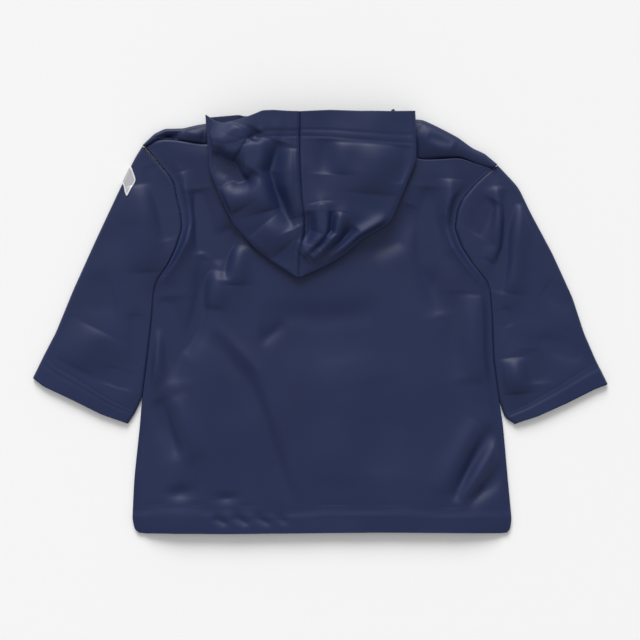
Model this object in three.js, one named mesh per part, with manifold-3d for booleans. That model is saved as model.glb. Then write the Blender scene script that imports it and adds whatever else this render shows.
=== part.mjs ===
// A toddler's hooded raincoat in coated cloth, lying flat on its front with the hood turned back.
// Millimetres. +Z is up, +Y runs from hem to hood, and +X is towards the wearer's right arm.
import * as THREE from 'three';
import { mergeVertices } from 'three/addons/utils/BufferGeometryUtils.js';
import Module from 'manifold-3d';

const wasm = await Module();
wasm.setup();

// Driving sizes.
const wall = 1.1; // coated cloth, as a rigid wall
const seamGap = 1; // between the edges of two panels that are sewn together
const rollGap = 2.2; // between a rolled shoulder and the back's edge below it
const layerGap = 0.3; // between panels that lie on each other
const bodyLevel = 5.5; // middle of the back's wall, well in from the sides
const bodySlope = 60; // how far in from a side the back reaches that level
const sleevePuff = 1.2; // how far a sleeve's top rises past its folded edges
const napeLevel = 7.6; // middle of the hood layer that lies on the back
const hoodPuff = 7; // how far the hood's top rises past its folded edges
const flatLevel = wall / 2; // middle of a wall that rests on the surface

const placket = {
  reach: 16, // each front passes the centre line by this much
  ramp: 7, // width of the step up to the overlap
  outerLevel: 1.45, // middle of the wall of the front that lies outside
  innerLevel: 2.85,
  clearLevel: 5.05, // lowest middle of the back above the snaps
};

const snap = {
  capRadius: 6,
  capHeight: 0.7,
  barrelRadius: 2.4,
  backRadius: 5,
  top: 4.2,
  holeRadius: 2.8,
  count: 5,
  lowestY: -188,
  pitch: 82,
};

// Side edges from the hem up to the armhole; past the underarm they are the armhole seams.
const bodySections = [
  { y: -221, left: -189, right: 195 },
  { y: -206, left: -195, right: 199 },
  { y: -164, left: -193, right: 195 },
  { y: -108, left: -187, right: 190 },
  { y: -82, left: -185, right: 186 },
  { y: -39, left: -179, right: 180 },
  { y: 3, left: -175, right: 179 },
  { y: 36, left: -175, right: 178 },
  { y: 58, left: -158, right: 159 },
  { y: 95, left: -143, right: 140 },
  { y: 125, left: -148, right: 147 },
  { y: 150, left: -154, right: 171 },
];

// Shoulder seams and back neckline, across the top of the back.
const backTop = [
  { x: -181, y: 180 },
  { x: -169, y: 187 },
  { x: -154, y: 187 },
  { x: -117, y: 181 },
  { x: -90, y: 196 },
  { x: -45, y: 200 },
  { x: 40, y: 200 },
  { x: 86, y: 190 },
  { x: 99, y: 166 },
  { x: 120, y: 166 },
  { x: 146, y: 168 },
  { x: 164, y: 161 },
  { x: 180, y: 157 },
];

// Where the fronts roll over to the back side at the shoulders, from neck to armhole.
const leftRoll = [
  { x: -90, y: 207 },
  { x: -118, y: 203 },
  { x: -142, y: 198 },
  { x: -161, y: 198 },
  { x: -171.5, y: 193 },
  { x: -184, y: 181 },
];
const rightRoll = [
  { x: 88, y: 209 },
  { x: 107, y: 207 },
  { x: 130, y: 196 },
  { x: 143, y: 189 },
  { x: 158, y: 178 },
  { x: 171, y: 172 },
  { x: 184, y: 161 },
];

// Each sleeve in plan: its outer edge from shoulder to cuff, its inner edge, and its cuff.
const sleeves = {
  left: {
    outer: [
      { x: -185, y: 180 },
      { x: -192, y: 168 },
      { x: -209, y: 133 },
      { x: -256, y: 31 },
      { x: -286, y: -36 },
      { x: -298, y: -60.5 },
    ],
    inner: [
      { x: -179, y: 35 },
      { x: -176, y: 3 },
      { x: -180, y: -39 },
      { x: -186, y: -81 },
      { x: -194, y: -97 },
      { x: -200, y: -107.5 },
    ],
    cuff: [
      { x: -298, y: -60.5 },
      { x: -287, y: -69 },
      { x: -257, y: -83 },
      { x: -227, y: -98 },
      { x: -200, y: -107.5 },
    ],
  },
  right: {
    outer: [
      { x: 185, y: 160 },
      { x: 199, y: 145 },
      { x: 218, y: 112 },
      { x: 241, y: 69 },
      { x: 274, y: -14 },
      { x: 298.5, y: -67 },
    ],
    inner: [
      { x: 182, y: 35 },
      { x: 180, y: 3 },
      { x: 181, y: -39 },
      { x: 187, y: -82 },
      { x: 190, y: -98 },
      { x: 203, y: -107.5 },
    ],
    cuff: [
      { x: 298.5, y: -67 },
      { x: 285, y: -72 },
      { x: 255, y: -87 },
      { x: 226, y: -100 },
      { x: 203, y: -107.5 },
    ],
  },
};

// The hood in plan: the rim of its face opening, its folded sides and its centre seam.
const hoodRim = {
  left: [
    { x: -21, y: 214.6 },
    { x: -48, y: 216 },
    { x: -73, y: 209.5 },
    { x: -100, y: 202.6 },
    { x: -118, y: 212 },
  ],
  right: [
    { x: -21, y: 214.6 },
    { x: 11, y: 216 },
    { x: 40, y: 215 },
    { x: 98, y: 216 },
  ],
};
const hoodSide = {
  left: [
    { x: -118, y: 212 },
    { x: -115, y: 170 },
    { x: -114, y: 153 },
    { x: -102, y: 124 },
    { x: -89, y: 98 },
    { x: -68, y: 75 },
    { x: -49, y: 60 },
    { x: -27, y: 46 },
  ],
  right: [
    { x: 98, y: 216 },
    { x: 99.5, y: 165 },
    { x: 89, y: 139 },
    { x: 73, y: 101 },
    { x: 44, y: 84 },
    { x: 27, y: 69 },
    { x: 10, y: 58 },
    { x: -17, y: 46 },
  ],
};
const hoodSeam = [
  { x: -21, y: 214.6 },
  { x: -21, y: 170 },
  { x: -19, y: 129 },
  { x: -15.5, y: 95 },
  { x: -21, y: 70 },
  { x: -22, y: 46 },
];

// The throat part of the hood, on the underside between the front neckline and its free edge.
const throat = {
  middleX: 1,
  neckY: 188, // front neckline at the centre
  neckRise: 17, // and how much higher it is at the sides
  edgeY: 212,
  sideX: 84, // where it starts to climb to the folded side
  rampX: 4,
  cornerX: 76, // its corner, which stands past the edge
  cornerReach: 9,
  cornerWidth: 16,
};

// Main folds, each a straight crest or trough: its ends, how wide it is and how high (+) or deep (-).
const backFolds = [
  { x0: -129, y0: 133, x1: -118, y1: 70, width: 10, height: -2 },
  { x0: -89, y0: 92, x1: -113, y1: 63, width: 8, height: -2.4 },
  { x0: -113, y0: 63, x1: -123, y1: 23, width: 9, height: -2.6 },
  { x0: -123, y0: 23, x1: -141, y1: -30, width: 12, height: -2.2 },
  { x0: -88, y0: 70, x1: -88, y1: 30, width: 11, height: 2.6 },
  { x0: -136, y0: 130, x1: -140, y1: 80, width: 8, height: 2.4 },
  { x0: 138, y0: 140, x1: 140, y1: 84, width: 8, height: 2.6 },
  { x0: 146, y0: 77, x1: 170, y1: 46, width: 9, height: 2.2 },
  { x0: 110, y0: 134, x1: 112, y1: 50, width: 11, height: -2 },
  { x0: 160, y0: 20, x1: 158, y1: -60, width: 16, height: 2.2 },
  { x0: -158, y0: 20, x1: -150, y1: -60, width: 14, height: 1.6 },
  { x0: -165, y0: -84, x1: -145, y1: -140, width: 11, height: -2 },
  { x0: -105, y0: -9, x1: -65, y1: -52, width: 9, height: 2 },
  { x0: -65, y0: -52, x1: -41, y1: -124, width: 9, height: 1.8 },
  { x0: -41, y0: -124, x1: -24, y1: -200, width: 9, height: 1.6 },
  { x0: 178, y0: -112, x1: 138, y1: -188, width: 9, height: 2.4 },
  { x0: 192, y0: -152, x1: 154, y1: -190, width: 7, height: -1.4 },
];
const sleeveFolds = {
  left: [
    { x0: -190, y0: 150, x1: -176, y1: 60, width: 14, height: 2 },
    { x0: -236, y0: 10, x1: -262, y1: -40, width: 16, height: 1.4 },
  ],
  right: [
    { x0: 181, y0: 130, x1: 184, y1: 77, width: 8, height: 3 },
    { x0: 192, y0: 135, x1: 193, y1: 40, width: 8, height: -1 },
    { x0: 205, y0: 100, x1: 203, y1: 20, width: 12, height: 2.6 },
    { x0: 237, y0: 33, x1: 261, y1: 18, width: 9, height: -1 },
    { x0: 227, y0: -22, x1: 271, y1: -37, width: 9, height: -1 },
    { x0: 206, y0: -40, x1: 210, y1: -80, width: 14, height: 2 },
  ],
};
const hoodFolds = [
  { x0: -112, y0: 176, x1: -88, y1: 172, width: 15, height: 4 },
  { x0: -104, y0: 160, x1: -78, y1: 142, width: 11, height: -4.5 },
  { x0: -70, y0: 176, x1: -62, y1: 120, width: 17, height: 3.5 },
  { x0: -46, y0: 182, x1: -46, y1: 140, width: 11, height: -3 },
  { x0: -46, y0: 140, x1: -28, y1: 96, width: 10, height: -4 },
  { x0: 1, y0: 119, x1: 5, y1: 88, width: 9, height: 4 },
  { x0: 5, y0: 88, x1: -16, y1: 66, width: 9, height: 4 },
  { x0: 18, y0: 106, x1: 14, y1: 88, width: 7, height: -3 },
  { x0: 40, y0: 96, x1: 10, y1: 68, width: 10, height: 3 },
];

const armPatch = {
  reach: 15, // in from the sleeve's outer fold
  start: 0.086, // along the sleeve, from the shoulder
  end: 0.166,
  margin: 0.012,
};

const cloth = { color: 0x26345c, roughness: 0.42, metalness: 0 };
const reflective = { color: 0xc0c0c4, roughness: 0.35, metalness: 0.3 };
const lacquer = { color: 0x1c2a50, roughness: 0.3, metalness: 0 };

const { clamp, lerp, smoothstep } = THREE.MathUtils;

// A line through the rows of a table, followed by its length from 0 to 1.
function route(rows) {
  const lengths = [0];
  for (let k = 1; k < rows.length; k += 1) {
    lengths.push(lengths[k - 1] + Math.hypot(rows[k].x - rows[k - 1].x, rows[k].y - rows[k - 1].y));
  }
  const whole = lengths[lengths.length - 1];
  return (t) => {
    const target = clamp(t, 0, 1) * whole;
    let k = 1;
    while (k < rows.length - 1 && lengths[k] < target) k += 1;
    const share = (target - lengths[k - 1]) / (lengths[k] - lengths[k - 1]);
    const from = rows[k - 1];
    return { x: lerp(from.x, rows[k].x, share), y: lerp(from.y, rows[k].y, share) };
  };
}

// The plan of a four-sided panel from its edges: u runs across and v along. The bow of the near
// edge, or of the end side, dies away inside the panel as fast as its fade says.
function panelPlan(nearEdge, farEdge, startSide, endSide, { nearFade = 1, endFade = 1 } = {}) {
  const corner = { a: nearEdge(0), b: nearEdge(1), c: farEdge(0), d: farEdge(1) };
  const blend = (axis, u, v) => {
    const nearLine = lerp(corner.a[axis], corner.b[axis], u);
    const farLine = lerp(corner.c[axis], corner.d[axis], u);
    const startLine = lerp(corner.a[axis], corner.c[axis], v);
    const endLine = lerp(corner.b[axis], corner.d[axis], v);
    return lerp(nearLine, farLine, v) +
      (nearEdge(u)[axis] - nearLine) * (1 - v) ** nearFade +
      (farEdge(u)[axis] - farLine) * v +
      (startSide(v)[axis] - startLine) * (1 - u) +
      (endSide(v)[axis] - endLine) * u ** endFade;
  };
  return (u, v) => ({ x: blend('x', u, v), y: blend('y', u, v) });
}

// The height that a table of folds adds at a point.
function foldHeight(folds, { x, y }) {
  let height = 0;
  for (const fold of folds) {
    const along = { x: fold.x1 - fold.x0, y: fold.y1 - fold.y0 };
    const length2 = along.x ** 2 + along.y ** 2;
    const t = clamp(((x - fold.x0) * along.x + (y - fold.y0) * along.y) / length2, 0, 1);
    const away = Math.hypot(x - fold.x0 - t * along.x, y - fold.y0 - t * along.y);
    height += fold.height * Math.exp(-((away / fold.width) ** 2));
  }
  return height;
}

// How far round a folded edge the cloth has come, 0 at the fold itself and 1 past its radius.
function roundOff(distance, radius) {
  const left = 1 - clamp(distance / radius, 0, 1);
  return Math.sqrt(1 - left * left);
}

// A closed wall about a grid of points; present() leaves cells out, and a ring joins its ends.
function clothWall(grid, { ring = false, present = () => true, thickness = wall } = {}) {
  const columns = grid[0].length;
  const cellColumns = ring ? columns : columns - 1;
  const cells = new Map();
  for (let j = 0; j < grid.length - 1; j += 1) {
    for (let i = 0; i < cellColumns; i += 1) {
      const next = (i + 1) % columns;
      if (present(i, j)) cells.set(`${i},${j}`, [[i, j], [next, j], [next, j + 1], [i, j + 1]]);
    }
  }
  const place = ([i, j]) => grid[j][i];
  const normals = grid.map((row) => row.map(() => new THREE.Vector3()));
  for (const cell of cells.values()) {
    const [a, b, c, d] = cell.map(place);
    const facing = c.clone().sub(a).cross(d.clone().sub(b));
    cell.forEach(([i, j]) => normals[j][i].add(facing));
  }
  const side = ([i, j], sign) => {
    const offset = normals[j][i].clone().normalize().multiplyScalar((sign * thickness) / 2);
    return grid[j][i].clone().add(offset);
  };
  const triangles = [];
  const quad = (a, b, c, d) => triangles.push(a, b, c, a, c, d);
  for (const [key, cell] of cells) {
    const [a, b, c, d] = cell.map((node) => side(node, 1));
    const [e, f, g, h] = cell.map((node) => side(node, -1));
    quad(a, b, c, d);
    triangles.push(e, g, f, e, h, g);
    const [i, j] = key.split(',').map(Number);
    const before = ring ? (i + columns - 1) % columns : i - 1;
    const after = ring ? (i + 1) % columns : i + 1;
    if (!cells.has(`${i},${j - 1}`)) quad(b, a, e, f);
    if (!cells.has(`${after},${j}`)) quad(c, b, f, g);
    if (!cells.has(`${i},${j + 1}`)) quad(d, c, g, h);
    if (!cells.has(`${before},${j}`)) quad(a, d, h, e);
  }
  const geometry = new THREE.BufferGeometry().setFromPoints(triangles);
  return mergeVertices(geometry, 1e-5);
}

function piece(name, geometry, finish) {
  const mesh = new THREE.Mesh(geometry, new THREE.MeshStandardMaterial(finish));
  mesh.name = name;
  return mesh;
}

const point = (plan, z) => new THREE.Vector3(plan.x, plan.y, z);
const steps = (count) => Array.from({ length: count + 1 }, (_, k) => k / count);
const sideRows = (side) => bodySections.map((section) => ({ x: section[side], y: section.y }));

// A line whose parameter counts its points evenly, so that panels share their corners.
function evenRoute(rows) {
  return (t) => {
    const place = clamp(t, 0, 1) * (rows.length - 1);
    const k = Math.min(Math.floor(place), rows.length - 2);
    return {
      x: lerp(rows[k].x, rows[k + 1].x, place - k),
      y: lerp(rows[k].y, rows[k + 1].y, place - k),
    };
  };
}

// The front neckline's height at a distance from the centre.
function necklineY(x) {
  const past = Math.max(0, Math.abs(x - throat.middleX) - placket.reach);
  return throat.neckY + throat.neckRise * (past / (throat.sideX - placket.reach)) ** 1.4;
}

// Back.
function back() {
  const left = evenRoute([...sideRows('left'), backTop[0]]);
  const right = evenRoute([...sideRows('right'), backTop[backTop.length - 1]]);
  const hem = route([{ x: bodySections[0].left, y: -219.5 }, { x: 64, y: -220 }, { x: 195, y: -221 }]);
  const plan = panelPlan(hem, route(backTop), left, right);
  const intervals = bodySections.length;
  const underarm = 7;
  const lowerRows = steps(16).map((t) => t * underarm / intervals);
  const upperRows = steps(2 * (intervals - underarm)).slice(1).map((t) => lerp(underarm / intervals, 1, t));
  const grid = [...lowerRows, ...upperRows].map((v) =>
    steps(26).map((u) => {
      const place = plan(u, v);
      const width = right(v).x - left(v).x;
      const inset = Math.min(u, 1 - u) * width;
      const edgeLevel = lerp(1.5 * wall + layerGap, 4.3, smoothstep(place.y, 34, 62));
      const rise = 1 - (1 - clamp(inset / bodySlope, 0, 1)) ** 2;
      const level = lerp(edgeLevel, bodyLevel, rise);
      const folded = level + foldHeight(backFolds, place) * smoothstep(inset, 0, 14);
      const overPlacket = 1 - smoothstep(Math.abs(place.x - throat.middleX), 28, 44);
      const lowest = lerp(edgeLevel, placket.clearLevel, overPlacket);
      return point(place, Math.max(folded, lowest));
    }),
  );
  return clothWall(grid);
}

// A front: flat on the surface, stepped at the placket, and rolled over the shoulder to its seam.
function front({ roll, seam, sideKey, edgeX, level }) {
  const outward = Math.sign(roll[1].x);
  const rollRoute = route(roll);
  const seamRoute = route(seam.map(({ x, y }) => ({ x, y: y + rollGap })));
  const across = (t) => {
    const outer = rollRoute(t);
    const inner = seamRoute(t);
    const width = Math.hypot(inner.x - outer.x, inner.y - outer.y);
    const radius = Math.min(3.2, 0.42 * width);
    const toSeam = { x: (inner.x - outer.x) / width, y: (inner.y - outer.y) / width };
    return { outer, inner, radius, toSeam };
  };
  const from = ({ outer, toSeam }, distance) => ({
    x: outer.x + toSeam.x * distance,
    y: outer.y + toSeam.y * distance,
  });
  const rollStart = (t) => from(across(t), across(t).radius);
  const neckX = rollStart(0).x;
  const necklineRow = (share) => {
    const x = lerp(edgeX, neckX, share);
    return { x, y: share < 1 ? necklineY(x) : rollStart(0).y };
  };
  const neckline = route(steps(8).map(necklineRow));
  const neckShare = 0.4;
  const top = (u) => (u < neckShare ? neckline(u / neckShare) : rollStart((u - neckShare) / (1 - neckShare)));
  const hemX = (u) => (u < neckShare
    ? lerp(edgeX, neckX, u / neckShare)
    : lerp(neckX, bodySections[0][sideKey], (u - neckShare) / (1 - neckShare)));
  const hem = (u) => ({ x: hemX(u), y: bodySections[0].y });
  const centreRows = [...bodySections.map(({ y }) => ({ x: edgeX, y })), { x: edgeX, y: throat.neckY }];
  const side = evenRoute([...sideRows(sideKey), rollStart(1)]);
  const plan = panelPlan(hem, top, evenRoute(centreRows), side, { endFade: 3 });
  const stepStart = placket.reach + 1;
  const stepped = (x) => {
    const past = (x - throat.middleX) * outward;
    return lerp(level, flatLevel, smoothstep(past, stepStart, stepStart + placket.ramp));
  };
  const rollTop = 6.0;
  const seamLevel = 4.6;
  const rollRise = (rollTop - flatLevel) / 2;
  const acrossShares = [0, 0.124, 0.165, 0.26, ...steps(6).map((t) => lerp(neckShare, 1, t))];
  const rows = [0, 1, 2, 4, 5, 6, 7, 8, 9, 10, 11, 12].map((k) => k / bodySections.length);
  const grid = rows.map((v) => acrossShares.map((u) => {
    const place = plan(u, v);
    return point(place, stepped(place.x));
  }));
  for (const turn of [0.25, 0.5, 0.75, 1]) {
    const angle = (turn - 0.5) * Math.PI;
    grid.push(acrossShares.map((u) => {
      const here = across((u - neckShare) / (1 - neckShare));
      const place = from(here, here.radius * (1 - Math.cos(angle)));
      return point(place, flatLevel + rollRise * (1 + Math.sin(angle)));
    }));
  }
  for (const share of [0.5, 1]) {
    grid.push(acrossShares.map((u) => {
      const here = across((u - neckShare) / (1 - neckShare));
      const start = from(here, here.radius);
      const place = { x: lerp(start.x, here.inner.x, share), y: lerp(start.y, here.inner.y, share) };
      return point(place, lerp(rollTop, seamLevel, share * share));
    }));
  }
  const present = (i, j) => j < rows.length - 1 || i >= 4;
  return clothWall(grid, { present });
}

// A sleeve: a flattened tube, open at the armhole and at the cuff; the patch is made from its points.
const alongSleeve = [
  0, 0.035, armPatch.start - armPatch.margin, armPatch.start, armPatch.end,
  armPatch.end + armPatch.margin, 0.223, 0.36, 0.507, 0.65, 0.793, 0.9, 1,
];
const foldRadius = 2.2;
const sleeveRise = 1.45;
function sharesOf(rows) {
  const lengths = rows.map((row, k) => (k ? Math.hypot(row.x - rows[k - 1].x, row.y - rows[k - 1].y) : 0));
  const whole = lengths.reduce((sum, length) => sum + length, 0);
  let reached = 0;
  return lengths.map((length) => (reached += length) / whole);
}

function sleeveGrid({ outer, inner, cuff }, folds, armholeSide, cornerY) {
  const outerEdge = route(outer);
  const innerEdge = route(inner);
  const outward = Math.sign(cuff[0].x);
  const seamRows = sideRows(armholeSide).filter((row) => row.y > 40 && row.y < cornerY);
  const armholeRows = [
    outer[0],
    ...seamRows.reverse().map(({ x, y }) => ({ x: x + outward * seamGap, y })),
    inner[0],
  ];
  const armhole = route(armholeRows);
  const cornerShares = sharesOf(armholeRows).slice(1, -1).filter((share) => share > 0.15);
  const plan = panelPlan(armhole, route(cuff), outerEdge, innerEdge, { nearFade: 14 });
  const level = flatLevel + sleeveRise;
  return alongSleeve.map((v) => {
    const width = Math.hypot(plan(1, v).x - plan(0, v).x, plan(1, v).y - plan(0, v).y);
    const near = [0.35 * foldRadius, foldRadius, armPatch.reach].map((inset) => inset / width);
    const topShares = [0, ...near, ...cornerShares, 0.92, 1 - near[1], 1 - near[0], 1];
    const underShares = [1 - near[0], 1 - near[1], 0.92, ...cornerShares.slice().reverse(), near[2], near[1], near[0]];
    const node = (u, upper) => {
      const place = plan(u, v);
      const inset = Math.min(u, 1 - u) * width;
      const round = roundOff(inset, foldRadius);
      if (upper) {
        const puff = sleevePuff * (1 - (1 - clamp(inset / 40, 0, 1)) ** 2);
        const folded = foldHeight(folds, place) * smoothstep(inset, 0, 16);
        return point(place, level + sleeveRise * round + Math.max(0.2 * folded, puff + folded));
      }
      return point(place, Math.max(level - sleeveRise * round, flatLevel));
    };
    return [...topShares.map((u) => node(u, true)), ...underShares.map((u) => node(u, false))];
  });
}

function sleeve(name, grid) {
  return piece(name, clothWall(grid, { ring: true }), cloth);
}

// The patch is the sleeve's own points from its outer fold inwards, moved out by a wall and a gap.
function patchOver(grid) {
  const first = alongSleeve.indexOf(armPatch.start);
  const columns = [0, 1, 2, 3];
  const away = wall + 2 * layerGap;
  const stretch = grid.slice(first, first + 2);
  const centre = new THREE.Vector3();
  const outwards = stretch[1][0].clone().sub(stretch[0][0]).cross(new THREE.Vector3(0, 0, 1)).normalize();
  const moved = stretch.map((row) => columns.map((column, k) => {
    const share = [0, 0.7, 1, 1][k];
    const offset = new THREE.Vector3(0, 0, away * share).addScaledVector(outwards, away * (1 - share ** 2));
    return centre.clone().addVectors(row[column], offset);
  }));
  return clothWall(moved, { thickness: 1 });
}

// A half of the hood: a top layer folded at the side over the nape layer, with its throat part.
function hoodHalf(side) {
  const outward = side === 'left' ? -1 : 1;
  const bottom = hoodSeam[hoodSeam.length - 1];
  const seamAway = (outward * seamGap) / 2;
  const centre = route(hoodSeam.map(({ x, y }) => ({ x: x + seamAway, y })));
  const rim = hoodRim[side].map(({ x, y }, k) => ({ x: x + (k ? 0 : seamAway), y }));
  const sideRows2 = hoodSide[side];
  const tip = route([{ x: bottom.x + seamAway, y: bottom.y }, sideRows2[sideRows2.length - 1]]);
  const plan = panelPlan(route(rim), tip, centre, route(sideRows2));
  const radius = 3;
  const rise = 2.5;
  const middle = napeLevel + rise;
  const rowsAbove = [0, 0.03, 0.065];
  const rowsBelow = [0.1, 0.17, 0.25, 0.33, 0.41, 0.5, 0.59, 0.68, 0.78, 0.88, 1];
  const topShares = [0, 0.1, 0.21, 0.33, 0.45, 0.57, 0.69, 0.8, 0.9];
  const underShares = [0.86, 0.72, 0.58, 0.3, 0];
  const edgeHeight = (x) => throat.edgeY +
    (side === 'right' ? throat.cornerReach * clamp(1 - Math.abs(x - throat.cornerX) / throat.cornerWidth, 0, 1) : 0);
  const grid = [...rowsAbove, ...rowsBelow].map((v, j) => {
    const width = Math.hypot(plan(1, v).x - plan(0, v).x, plan(1, v).y - plan(0, v).y);
    const foldShare = Math.min(0.25, radius / width);
    const row = [...topShares.map((share) => share * (1 - foldShare) / 0.9)].map((u) => {
      const place = plan(u, v);
      const inset = (1 - u) * width;
      const puff = hoodPuff * smoothstep(inset, 0, 46) * smoothstep(place.y, 40, 92);
      const folded = foldHeight(hoodFolds, place) * smoothstep(inset, 0, 12);
      return point(place, middle + rise * roundOff(inset, radius) + Math.max(-1, puff + folded));
    });
    for (const [share, sign] of [[0.35, 1], [0, 0], [0.35, -1], [1, -1]]) {
      const u = 1 - share * foldShare;
      row.push(point(plan(u, v), middle + sign * rise * roundOff(share * radius, radius)));
    }
    const isThroat = j < rowsAbove.length;
    for (const share of underShares) {
      if (isThroat) {
        const x = throatX(outward, share);
        const y = lerp(edgeHeight(x), necklineY(x) + 2 * seamGap, j / (rowsAbove.length - 1));
        const climb = smoothstep(Math.abs(x), throat.sideX - throat.rampX, throat.sideX);
        row.push(new THREE.Vector3(x, y, lerp(flatLevel, napeLevel, climb)));
      } else {
        row.push(point(plan(share * (1 - foldShare), v), napeLevel));
      }
    }
    return row;
  });
  const present = (i, j) => !(j === rowsAbove.length - 1 && i >= topShares.length + 3);
  return piece(`hood_${side}`, clothWall(grid, { present }), cloth);
}

function throatX(outward, share) {
  const half = throat.sideX + 1;
  const stops = { 0.86: half, 0.72: throat.sideX - throat.rampX - 0.5, 0.58: throat.cornerX, 0.3: 40 };
  const x = stops[share] ?? 0.6;
  return outward * x + (share === 0 ? throat.middleX : 0);
}

// Boolean cuts.
function solidOf(geometry) {
  const bare = geometry.clone();
  bare.deleteAttribute('normal');
  bare.deleteAttribute('uv');
  const merged = mergeVertices(bare, 1e-5);
  const vertProperties = new Float32Array(merged.getAttribute('position').array);
  const triVerts = new Uint32Array(merged.getIndex().array);
  return new wasm.Manifold(new wasm.Mesh({ numProp: 3, vertProperties, triVerts }));
}

function geometryOf(solid) {
  const { vertProperties, triVerts } = solid.getMesh();
  const geometry = new THREE.BufferGeometry();
  geometry.setAttribute('position', new THREE.BufferAttribute(vertProperties, 3));
  geometry.setIndex(new THREE.BufferAttribute(triVerts, 1));
  return geometry;
}

const snapPlaces = Array.from({ length: snap.count }, (_, k) => snap.lowestY + k * snap.pitch);

function withSnapHoles(geometry) {
  let solid = solidOf(geometry);
  for (const y of snapPlaces) {
    const bore = new THREE.CylinderGeometry(snap.holeRadius, snap.holeRadius, 12, 12);
    bore.rotateX(Math.PI / 2).translate(throat.middleX, y, 0);
    solid = solid.subtract(solidOf(bore));
  }
  return geometryOf(solid);
}

// A closed snap: its cap under the outer front, its barrel through both fronts, its back inside.
function snapPiece(index) {
  const profile = [
    [0, 0],
    [snap.capRadius, 0],
    [snap.capRadius, snap.capHeight],
    [snap.barrelRadius, snap.capHeight],
    [snap.barrelRadius, snap.top - 0.6],
    [snap.backRadius, snap.top - 0.6],
    [snap.backRadius, snap.top],
    [0, snap.top],
  ].map(([radius, height]) => new THREE.Vector2(radius, height));
  const mesh = piece(`snap_${index + 1}`, new THREE.LatheGeometry(profile, 12).rotateX(Math.PI / 2), lacquer);
  mesh.position.set(throat.middleX, snapPlaces[index], 0);
  return mesh;
}

const raincoat = new THREE.Group();
raincoat.add(piece('back', back(), cloth));

const leftFront = front({
  roll: leftRoll,
  seam: [backTop[4], backTop[3], backTop[2], backTop[1], backTop[0]],
  sideKey: 'left',
  edgeX: throat.middleX + placket.reach,
  level: placket.outerLevel,
});
const rightFront = front({
  roll: rightRoll,
  seam: [backTop[7], ...backTop.slice(8)],
  sideKey: 'right',
  edgeX: throat.middleX - placket.reach,
  level: placket.innerLevel,
});
raincoat.add(piece('front_left', withSnapHoles(leftFront), cloth));
raincoat.add(piece('front_right', withSnapHoles(rightFront), cloth));

const leftGrid = sleeveGrid(sleeves.left, sleeveFolds.left, 'left', 160);
const rightGrid = sleeveGrid(sleeves.right, sleeveFolds.right, 'right', 155);
raincoat.add(sleeve('sleeve_left', leftGrid), sleeve('sleeve_right', rightGrid));
raincoat.add(piece('arm_patch', patchOver(leftGrid), reflective));
raincoat.add(hoodHalf('left'), hoodHalf('right'));
snapPlaces.forEach((_, index) => raincoat.add(snapPiece(index)));

export default raincoat;
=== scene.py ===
# A toddler's raincoat in navy coated cloth, laid flat on its front with the hood turned back.
# +X is towards the right sleeve, +Y from hem to hood, +Z up. Tables are in millimetres.
import math

import bpy
import numpy as np
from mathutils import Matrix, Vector


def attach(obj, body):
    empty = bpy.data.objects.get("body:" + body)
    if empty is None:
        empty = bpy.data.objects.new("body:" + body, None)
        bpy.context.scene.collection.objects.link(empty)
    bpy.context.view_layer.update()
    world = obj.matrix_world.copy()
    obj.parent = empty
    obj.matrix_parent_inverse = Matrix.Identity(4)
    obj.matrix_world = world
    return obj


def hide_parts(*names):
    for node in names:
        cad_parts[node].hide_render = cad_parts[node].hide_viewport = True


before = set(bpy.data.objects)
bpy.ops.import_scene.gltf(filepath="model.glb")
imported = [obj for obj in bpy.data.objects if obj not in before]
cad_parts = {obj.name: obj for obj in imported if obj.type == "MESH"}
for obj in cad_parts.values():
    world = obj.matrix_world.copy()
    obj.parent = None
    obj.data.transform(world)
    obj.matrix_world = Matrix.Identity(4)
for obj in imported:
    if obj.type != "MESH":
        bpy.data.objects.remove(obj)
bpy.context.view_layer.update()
body = "root"
mm = 0.001

cloth = {
    "wall": 1.1,
    "flatLevel": 0.55,
    "sleevePuff": 1.5,
    "sleeveRise": 1.45,
    "foldRadius": 2.6,
    "napeLevel": 10.4,
    "hoodPuff": 8,
    "hoodRadius": 4,
    "hoodRise": 2.6,
}
placket = {"middle": 1, "reach": 16, "ramp": 7, "outerLevel": 1.45, "innerLevel": 2.85, "clearLevel": 5.05}
throat = {
    "middle": 1, "neckY": 188, "neckRise": 17, "edgeY": 212, "side": 84, "ramp": 4,
    "corner": 76, "cornerReach": 8.6, "cornerWidth": 6,
}

# Side edges from the hem up to the armhole; past the underarm they are the armhole seams.
bodySections = [  # y, left, right
    (-221, -188, 194), (-217, -192.5, 197.5), (-206, -195, 199), (-164, -193, 195), (-108, -187, 190),
    (-82, -185, 186), (-39, -179.5, 180), (3, -175, 179), (26, -174.5, 177.5), (38, -173, 176.5),
    (58, -158, 159), (76, -149, 147), (95, -143, 140), (112, -144.5, 142), (125, -148, 147),
    (141, -151, 161), (150, -156, 171),
]
backTop = [
    (-181, 180), (-169, 187), (-154, 187), (-117, 181), (-90, 196), (-45, 200), (40, 200),
    (86, 190), (99, 166), (120, 166), (146, 168), (164, 161), (180, 157),
]
rolls = {
    "left": [(-90, 207), (-117, 203.5), (-127, 202), (-142, 198.4), (-161, 198), (-171.5, 193), (-184, 181)],
    "right": [(88, 209), (107, 207), (118, 202), (130, 196), (143, 189), (158, 178), (171, 172), (184, 161)],
}
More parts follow.
